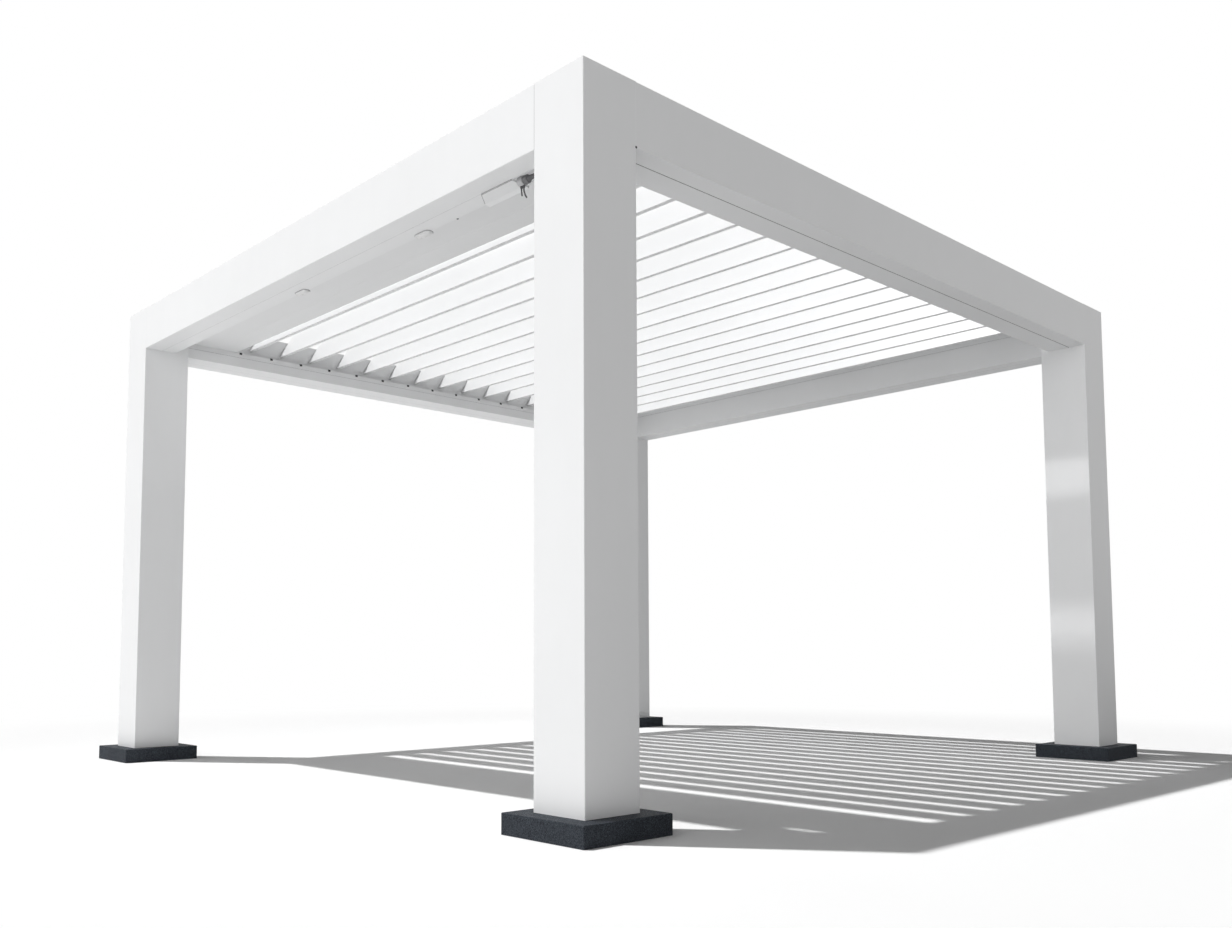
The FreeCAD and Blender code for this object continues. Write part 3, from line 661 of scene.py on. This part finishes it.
def add_shadow_clips():
    """Rubber clips on the inner walls of the side gutters, one by each blade's lower edge; their black is
    painted shadow where a blade's lower edge meets the wall.
    """
    size = sizes()
    half = size.shadow_clip_length / 2
    points, faces = prism(shadow_clip_section(), (-half, 0, 0), (half, 0, 0))
    for side, sign in (("front", -1), ("rear", 1)):
        low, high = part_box(f"side_gutter_{side}")
        wall = (low.y if sign > 0 else high.y) + sign * (size.step_depth + size.gutter_wall / 2)
        places = [(pivot[0] - size.shadow_clip_offset, wall, high.z) for _, pivot in blade_places()]
        # Black clips: painted shadow where each blade's lower edge meets the wall.
        add_piece(f"wall_shadow_clips_{side}", repeated(points, faces, places), "black_rubber")


def plug(axis):
    """A low round plug turned about its axis, with a rounded rim."""
    radius = sizes().plug_radius
    rise, shoulder, sunk = 0.0012, 0.0008, 0.001
    profile = [(0, rise), (radius * 0.8, rise), (radius * 0.95, shoulder), (radius, 0), (radius, -sunk),
               (0, -sunk)]
    points, faces = lathe(profile)
    return turned(points, axis), faces


def add_plug_and_notch_shadow():
    """Two small dark dots: one at the foot of the front beam's joint, whose black is painted shadow in a
    small notch there, and a plug under the left gutter.
    """
    size = sizes()
    beam_low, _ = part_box("side_beam_front")
    _, gutter_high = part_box("end_gutter_left")
    cover_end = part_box("wiring_cover")[1].y
    first = (beam_low.x, beam_low.y, beam_low.z + size.plug_radius / 2)
    second = (gutter_high.x + size.plug_radius / 2, cover_end + size.plug_place, beam_low.z)
    shape = gathered(moved(plug((0, -1, 0)), first), moved(plug((0, 0, -1)), second))
    add_piece("joint_plugs", shape, "black_rubber")


def add_rail_screws():
    """Screws halfway between the pivots, through the middle of each rail's foot."""
    thickness = sizes().rail_thickness
    pivots = [pivot[0] for _, pivot in blade_places()]
    between = [(a + b) / 2 for a, b in zip(pivots, pivots[1:])]
    for side, sign in (("front", -1), ("rear", 1)):
        low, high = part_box(f"pivot_rail_{side}")
        middle = (low.y + high.y + sign * thickness) / 2
        places = [(x, middle, low.z + thickness) for x in between[:sizes().rail_screws]]
        screws(f"rail_screws_{side}", places, (0, 0, 1))


def tilted(points, pivot):
    """Points of a closed blade, turned about its pivot to the stored tilt."""
    angle = sizes().blade_tilt
    x, y, z = np.asarray(points, float).T
    turned_x = x * math.cos(angle) - z * math.sin(angle)
    turned_z = x * math.sin(angle) + z * math.cos(angle)
    return np.stack([turned_x, y, turned_z], axis=1) + np.asarray(pivot, float)


def blade_places():
    """Each blade's name with its pivot."""
    return [(joint["child"], joint["pos_m"]) for joint in frame["joints"]
            if joint["name"].endswith("_tilt")]


def add_blade_trim(name, pivot):
    """Screws in the end plates, a soft bulb under the upper lip, and a grey strip along the lower edge whose
    grey is painted shade on the blade's downward nose.
    """
    size = sizes()
    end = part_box("pivot_rail_rear")[0].y - size.blade_end_gap
    screw_share, seal_inset = 0.6, 0.004
    shapes = []
    for sign in (-1, 1):
        points, faces = screw_head((0, sign, 0))
        for across in (-0.5, 0.5):
            at = np.array([across * size.blade_half, sign * end, 0])
            shapes.append((tilted(points * screw_share + at, pivot), faces))
    add_piece(f"{name}_screws", gathered(*shapes), "stainless", name)
    radius = size.blade_seal
    middle = np.array([size.blade_half - radius, 0, size.blade_top + size.blade_lip_lift - radius * 0.8])
    section = circle_section(radius, (1, 0, 0), (0, 0, 1)) + middle
    points, faces = prism(section, (0, -end + seal_inset, 0), (0, end - seal_inset, 0))
    add_piece(f"{name}_seal", (tilted(points, pivot), faces), "black_rubber", name)
    # A thin grey strip over the nose: its grey is painted shade on the downward-facing nose.
    edge, top, thin = -size.blade_half, size.blade_top, size.edge_strip
    bottom = top - size.blade_nose
    strip = [(edge, 0, top), (edge - thin, 0, top - thin), (edge - thin, 0, bottom + thin), (edge, 0, bottom)]
    points, faces = prism(strip, (0, -end, 0), (0, end, 0))
    add_piece(f"{name}_edge", (tilted(points, pivot), faces), "edge_strip", name,
              smooth=False)


def crank_pin(pivot):
    """Where a blade's crank pin is in X and Z: the arm stands a quarter turn and a half sweep back."""
    joint = next(joint for joint in frame["joints"] if joint["name"] == "link_bar_pivot")
    first = blade_places()[0][1]
    return (pivot[0] + joint["pos_m"][0] - first[0], pivot[2] + joint["pos_m"][2] - first[2])


def add_crank_clip(name, pivot):
    """A ring on the crank pin, behind the link bar: a flat ring with rounded edges, turned about Y."""
    size = sizes()
    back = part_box("link_bar")[1].y
    radius = size.clip_radius
    inner, shoulder = radius * 0.53, radius * 0.93
    thick, edge, gap = 0.0012, 0.0003, 0.0003
    ring = [(inner, 0), (shoulder, 0), (radius, edge), (radius, thick - edge),
            (shoulder, thick), (inner, thick), (inner, 0)]
    points, faces = lathe(ring)
    x, z = crank_pin(pivot)
    points = turned(points, (0, 1, 0)) + np.array([x, back + gap, z])
    add_piece(f"{name}_clip", (points, faces), "stainless", name)


def rounded_rectangle(half_width, half_height, radius, segments=5):
    """Points round a rectangle whose corners are quarter circles."""
    points = []
    for quarter, (sx, sy) in enumerate(((1, 1), (-1, 1), (-1, -1), (1, -1))):
        angle = np.linspace(0, np.pi / 2, segments) + quarter * np.pi / 2
        x = sx * (half_width - radius) + radius * np.cos(angle)
        y = sy * (half_height - radius) + radius * np.sin(angle)
        points.append(np.stack([x, y], axis=1))
    return np.concatenate(points)


def stacked(levels):
    """A closed skin through rounded rectangles: each level is (half width, half depth, radius, height)."""
    rings = []
    for half_width, half_depth, radius, height in levels:
        ring = rounded_rectangle(half_width, half_depth, radius)
        rings.append(np.column_stack([ring, np.full(len(ring), height)]))
    count = len(rings[0])
    points = np.concatenate(rings)
    faces = grid_faces(len(rings), count, True).tolist()
    faces.append(list(range(count))[::-1])
    faces.append(list(range(len(points) - count, len(points))))
    return points, faces


def add_drive():
    """The drive's housing: a rounded box with a foot, a lid with a shadow line, and cooling ribs."""
    low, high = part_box("louvre_motor")
    middle = (low + high) / 2
    half_x = (high.x - low.x) / 2
    half_y = (high.y - low.y) / 2
    height = high.z - low.z
    foot, groove, lid_height = 0.006, 0.0015, 0.034
    lid = height - lid_height
    levels = [(0, 0.004, 0), (0, 0.004, foot), (0.004, 0.008, foot + 0.002), (0.004, 0.008, lid),
              (0.006, 0.007, lid), (0.006, 0.007, lid + groove), (0.002, 0.009, lid + groove),
              (0.002, 0.009, height - 0.004), (0.005, 0.008, height)]
    body = stacked([(half_x - inset, half_y - inset, radius, level) for inset, radius, level in levels])
    shapes = [moved(body, (middle.x, middle.y, low.z))]
    ribs, spread, margin = 7, 0.6, 0.02
    root, tip = high.y - 0.005, high.y - 0.0005
    root_half, tip_half = 0.0012, 0.0008
    for step in np.linspace(-spread, spread, ribs):
        x = middle.x + step * half_x
        rib = [(x - root_half, root, 0), (x + root_half, root, 0), (x + tip_half, tip, 0),
               (x - tip_half, tip, 0)]
        shapes.append(prism(rib, (0, 0, low.z + margin), (0, 0, low.z + lid - margin)))
    piece = add_piece("drive_housing", gathered(*shapes), "housing_plastic")
    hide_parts("louvre_motor")
    lid_side = Vector((0.002, 0.002, 0))
    screw_inset, sunk = 0.012, 0.001
    places = corner_places(low + lid_side, high - lid_side, screw_inset, high.z - sunk)
    screws("drive_screws", places, (0, 0, 1))


def add_coupling():
    """The cable coupling, turned about its length: a ribbed nut, and a dark body with a ribbed gland."""
    low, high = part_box("cable_connector")
    middle = (low + high) / 2
    radius = (high.z - low.z) / 2
    length = high.y - low.y
    nut = [(0, 0.66), (0.90, 0.66), (0.96, 0.67), (1.0, 0.69), (1.0, 0.90), (0.94, 0.97), (0.60, 1.0),
           (0, 1.0)]
    segments, nut_ribs, rib_depth = 48, 12, 0.05
    points, faces = lathe([(across * radius, along * length) for across, along in nut], segments)
    angle = np.arctan2(points[:, 1], points[:, 0])
    on_nut = (points[:, 2] > 0.68 * length) & (points[:, 2] < 0.92 * length)
    swell = np.where(on_nut, 1 - rib_depth * (np.cos(nut_ribs * angle) > 0), 1.0)
    points = points * np.stack([swell, swell, np.ones_like(swell)], axis=1)
    front = np.array([middle.x, low.y, middle.z])
    piece = add_piece("coupling_nut", (turned(points, (0, 1, 0)) + front, faces), "coupling_nylon")
    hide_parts("cable_connector")
    gland, gland_ribs = 0.40, 7
    along = np.linspace(0, gland, 8 * gland_ribs + 1)
    wave = 0.36 + 0.14 * along / gland + rib_depth * np.cos(along / gland * gland_ribs * 2 * np.pi)
    body = [(0.72, gland), (0.84, 0.44), (0.86, 0.46), (0.86, 0.60), (0.78, 0.62), (0.78, 0.67), (0, 0.67)]
    profile = [(0, 0), *np.column_stack([wave, along]), *body]
    points, faces = lathe(np.array(profile) * (radius, length), segments)
    add_piece("coupling_body", (turned(points, (0, 1, 0)) + front, faces), "gland_nylon")


def add_cover_trim():
    """A gasket along the wiring cover's outer side and slanted end, and a lip that slopes down inwards."""
    size = sizes()
    low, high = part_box("wiring_cover")
    depth = Vector((0, 0, high.z - low.z))
    corner = Vector((low.x, high.y - size.cover_slant, low.z))
    slant = Vector((high.x - low.x, size.cover_slant, 0))
    across = Vector((-slant.y, slant.x, 0)).normalized() * size.gasket
    side = Vector((-size.gasket, 0, 0))
    strip = [(0, 0, 0), side, side + depth, depth]
    band = [(0, 0, 0), across, across + depth, depth]
    stop = corner + slant * (1 - size.cover_lip / slant.x)
    add_piece("cover_gasket", gathered(
        prism(strip, (low.x, low.y, low.z), corner), prism(band, corner, stop)),
              "grey_sealant", smooth=False)
    drop = low.z - size.cover_lip_drop
    start = high.x - size.cover_lip
    nose, chamfer = 0.002, 0.001
    flap = [(start, 0, low.z), (high.x - nose, 0, drop), (high.x, 0, drop + chamfer), (high.x, 0, low.z)]
    end = high.y - size.cover_slant * size.cover_lip / slant.x
    add_piece("cover_lip", prism(flap, (0, low.y, 0), (0, end, 0)), "white_coat", smooth=False, bevel=0.0008)


def lead_points(exit_point, bend, tail):
    """A lead's line: down, round an arc towards the front, and straight on."""
    drop, radius, steps = 0.008, 0.060, 4
    x, y, z = exit_point
    points = [(x, y, z), (x, y, z - drop / 2), (x, y, z - drop)]
    for number in range(1, steps + 1):
        angle = number * math.radians(bend) / steps
        points.append((x, y - radius * (1 - math.cos(angle)), z - drop - radius * math.sin(angle)))
    angle = math.radians(bend)
    bend_x, bend_y, bend_z = points[-1]
    for part in (tail / 2, tail):
        points.append((bend_x, bend_y - part * math.sin(angle), bend_z - part * math.cos(angle)))
    return points, drop + radius * angle + tail


def add_lead(name, bend, tail, diameter=0.006):
    """A short free lead: a round tube along its line."""
    low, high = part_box(name)
    exit_point = (low.x + diameter / 2, high.y - diameter / 2, high.z)
    points, length = lead_points(exit_point, bend, tail)
    curve = bpy.data.curves.new(f"{name}_flex", "CURVE")
    curve.dimensions = "3D"
    curve.bevel_depth = diameter / 2
    curve.bevel_resolution = 5
    curve.use_fill_caps = True
    spline = curve.splines.new("POLY")
    spline.points.add(len(points) - 1)
    for point, place in zip(spline.points, points):
        point.co = (*place, 1)
    spline.use_smooth = True
    curve.materials.append(finish_named("lead_jacket"))
    piece = linked(f"{name}_flex", curve)
    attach(piece, FRAME_BODY)
    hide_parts(name)


def add_lead_boots():
    """A short tapered sleeve where each lead leaves the coupling, turned about Z."""
    radius, root, reach = 0.0058, 0.004, 0.009
    points, faces = lathe([(0, root), (radius, root), (radius, 0), (radius * 0.9, -reach * 0.4),
                           (radius * 0.65, -reach), (0, -reach)])
    places = []
    for name in ("cable_lead_near", "cable_lead_far"):
        low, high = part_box(name)
        places.append(((low.x + high.x) / 2, high.y - (high.x - low.x) / 2, high.z))
    add_piece("lead_boots", repeated(points, faces, places), "lead_jacket")


def add_fittings():
    """Two oval fittings: a gasket, a rim and a low dome, each a long rounded rectangle that narrows."""
    low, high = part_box("oval_fittings")
    half_x = (high.x - low.x) / 2
    half_y = sizes().fitting_half
    rim = sizes().fitting_gasket
    drop = high.z - low.z
    shapes = []
    gaskets = []
    for y in (low.y + half_y, high.y - half_y):
        inner = half_x * 0.72
        levels = [(half_x, half_y, half_x, 0), (half_x, half_y, half_x, -drop * 0.55),
                  (half_x * 0.93, half_y - half_x * 0.07, half_x * 0.93, -drop * 0.8),
                  (half_x * 0.80, half_y - half_x * 0.20, half_x * 0.80, -drop * 0.8),
                  (inner, half_y - half_x * 0.28, inner, -drop * 0.62),
                  (inner * 0.9, half_y - half_x * 0.34, inner * 0.9, -drop * 0.84),
                  (inner * 0.6, half_y - half_x * 0.55, inner * 0.6, -drop)]
        middle = (low.x + half_x, y, high.z)
        shapes.append(moved(stacked(levels), middle))
        outline = [(half_x + rim, half_y + rim, half_x + rim, level) for level in (0, -rim)]
        gaskets.append(moved(stacked(outline), middle))
    add_piece("oval_gaskets", gathered(*gaskets), "grey_sealant")
    piece = add_piece("oval_lamps", gathered(*shapes), "lens_plastic")
    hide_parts("oval_fittings")


class PERGOLA_OT_frame(bpy.types.Operator):
    """Finish the posts, beams, gutters, boards and rails, and add their screws and seals"""

    bl_idname = "pergola.frame"
    bl_label = "Frame"

    def execute(self, context):
        for start in ("post_", "side_", "end_", "closing_", "pivot_rail"):
            dress_all(start, "white_coat")
        dress_all("ceiling_", "white_board_coat")
        dress_all("pivot_bushes", "bush_nylon")
        add_cap_screws()
        add_gutter_seals()
        add_joint_beads()
        add_painted_step_shadows()
        add_shadow_clips()
        add_plug_and_notch_shadow()
        add_rail_screws()
        return {"FINISHED"}


class PERGOLA_OT_stone(bpy.types.Operator):
    """Finish the stone pads under the posts"""

    bl_idname = "pergola.stone"
    bl_label = "Stone pads"

    def execute(self, context):
        dress_all("stone_pad", "granite")
        return {"FINISHED"}


class PERGOLA_OT_blades(bpy.types.Operator):
    """Finish the blades and add their screws and seals"""

    bl_idname = "pergola.blades"
    bl_label = "Blades"

    def execute(self, context):
        for name, pivot in blade_places():
            dress(name, "white_blade_coat")
            add_blade_trim(name, pivot)
        return {"FINISHED"}


class PERGOLA_OT_drive(bpy.types.Operator):
    """Finish the link bar, and add the drive's housing and the rings on the crank pins"""

    bl_idname = "pergola.drive"
    bl_label = "Drive"

    def execute(self, context):
        dress("link_bar", "brushed_alloy")
        dress("louvre_motor", "housing_plastic")
        add_drive()
        for name, pivot in blade_places():
            add_crank_clip(name, pivot)
        return {"FINISHED"}


class PERGOLA_OT_wiring(bpy.types.Operator):
    """Finish the cover under the left gutter, and add the coupling, its leads and the oval fittings"""

    bl_idname = "pergola.wiring"
    bl_label = "Wiring"

    def execute(self, context):
        dress("wiring_cover", "white_coat")
        for node in ("cable_connector", "cable_lead_near", "cable_lead_far"):
            dress(node, "coupling_nylon")
        dress("oval_fittings", "lens_plastic")
        add_coupling()
        add_cover_trim()
        add_lead("cable_lead_near", 34, 0.011)
        add_lead("cable_lead_far", 8, 0.020)
        add_lead_boots()
        add_fittings()
        return {"FINISHED"}


def add_floor():
    """A wide floor: white to the camera, with no shading far out, and greyer in the light it throws back."""
    look = studio()
    half, level = look.floor_half, -0.0005
    corners = [(-half, -half, level), (half, -half, level), (half, half, level), (-half, half, level)]
    mesh = bpy.data.meshes.new("floor")
    mesh.from_pydata(corners, [], [(0, 1, 2, 3)])
    floor = linked("floor", mesh)
    material = bpy.data.materials.new("floor")
    material.use_nodes = True
    maker = NodeMaker(material.node_tree)
    seen = maker.node("ShaderNodeLightPath", output="Is Camera Ray")
    place = maker.node("ShaderNodeTexCoord", output="Object")
    across, along = (maker.node("ShaderNodeSeparateXYZ", inputs=(place,), output=axis) for axis in "XY")
    start, stop = look.floor_change
    bounce = maker.blend((across - along).over(start, stop - start), with_alpha(look.floor_behind),
                         with_alpha(look.floor_front))
    colour = maker.blend(seen, bounce, with_alpha(look.floor_colour))
    matt = maker.node("ShaderNodeBsdfDiffuse", inputs={"Color": colour})
    blank = maker.node("ShaderNodeEmission", inputs={"Color": (1, 1, 1, 1), "Strength": 1.0})
    start, stop = look.floor_fade
    away = (across * across + along * along) ** 0.5
    faded = away.over(start, stop - start) * seen
    maker.finish_with(maker.node("ShaderNodeMixShader", inputs=(faded, matt, blank)),
                      "ShaderNodeOutputMaterial")
    mesh.materials.append(material)


def add_world():
    """Soft light, stronger from low on the left and in front; white to the camera and in reflections."""
    look = studio()
    world = bpy.data.worlds.new("studio")
    bpy.context.scene.world = world
    world.use_nodes = True
    maker = NodeMaker(world.node_tree)
    direction = maker.node("ShaderNodeTexCoord", output="Generated")
    across, along, up = (maker.node("ShaderNodeSeparateXYZ", inputs=(direction,), output=axis)
                         for axis in "XYZ")
    side = (across * -1.0).highest(0.0) ** look.side_focus * look.side_level
    front = (along * -1.0).highest(0.0) * look.front_level
    low = (1.0 - up.highest(0.0)) ** look.low_focus
    level = (side + front) * low + look.sky_level
    paths = [maker.node("ShaderNodeLightPath", output=name)
             for name in ("Is Camera Ray", "Is Glossy Ray", "Is Transmission Ray")]
    seen = paths[0].highest(paths[1]).highest(paths[2])
    strength = level * (1.0 - seen) + seen
    background = maker.node("ShaderNodeBackground", inputs={
        "Color": (1, 1, 1, 1), "Strength": strength})
    maker.finish_with(background, "ShaderNodeOutputWorld")


def add_sun():
    """A crisp sun."""
    look = studio()
    lamp = bpy.data.lights.new("sun", "SUN")
    lamp.energy = look.sun_strength
    lamp.angle = look.sun_width
    sun = linked("sun", lamp)
    sun.rotation_euler = Vector(look.sun_direction).to_track_quat("Z", "Y").to_euler()


def add_camera():
    """A camera that looks up a little; its shift puts the axis where the picture has it."""
    look = studio()
    data = bpy.data.cameras.new("camera")
    data.sensor_width = SENSOR_WIDTH
    data.lens = look.focal_pixels * SENSOR_WIDTH / IMAGE_WIDTH
    data.shift_x = (IMAGE_WIDTH / 2 - look.axis_column) / IMAGE_WIDTH
    data.shift_y = (look.axis_row - IMAGE_HEIGHT / 2) / IMAGE_WIDTH
    data.clip_end = 200
    camera = linked("camera", data)
    camera.location = look.camera_place
    aim = Euler((math.pi / 2 + look.camera_pitch, 0, look.camera_yaw - math.pi / 2)).to_matrix()
    camera.rotation_euler = (aim @ Matrix.Rotation(-look.camera_roll, 3, "Z")).to_euler()
    bpy.context.scene.camera = camera


class PERGOLA_OT_stage(bpy.types.Operator):
    """Set up the floor, the light and the camera"""

    bl_idname = "pergola.stage"
    bl_label = "Studio"

    def execute(self, context):
        add_floor()
        add_world()
        add_sun()
        add_camera()
        context.scene.view_settings.view_transform = "Standard"
        return {"FINISHED"}


class PERGOLA_PT_panel(bpy.types.Panel):
    """The operators, in the order in which they run"""

    bl_label = "Pergola"
    bl_idname = "PERGOLA_PT_panel"
    bl_space_type = "VIEW_3D"
    bl_region_type = "UI"
    bl_category = "Pergola"

    def draw(self, context):
        for name in OPERATORS:
            self.layout.operator(name)


OPERATORS = ("pergola.frame", "pergola.stone", "pergola.blades", "pergola.drive",
             "pergola.wiring", "pergola.stage")
CLASSES = (PergolaSizes, PergolaFinishes, StudioSettings, PERGOLA_OT_frame, PERGOLA_OT_stone,
           PERGOLA_OT_blades, PERGOLA_OT_drive, PERGOLA_OT_wiring, PERGOLA_OT_stage,
           PERGOLA_PT_panel)
GROUPS = (("pergola_sizes", PergolaSizes), ("pergola_finishes", PergolaFinishes),
          ("pergola_studio", StudioSettings))


def register():
    for item in CLASSES:
        bpy.utils.register_class(item)
    for name, group in GROUPS:
        setattr(bpy.types.Scene, name, PointerProperty(type=group))


def unregister():
    for name, _ in GROUPS:
        delattr(bpy.types.Scene, name)
    for item in reversed(CLASSES):
        bpy.utils.unregister_class(item)


def main():
    register()
    bpy.ops.pergola.frame()
    bpy.ops.pergola.stone()
    bpy.ops.pergola.blades()
    bpy.ops.pergola.drive()
    bpy.ops.pergola.wiring()
    bpy.ops.pergola.stage()


if __name__ == "__main__":
    main()
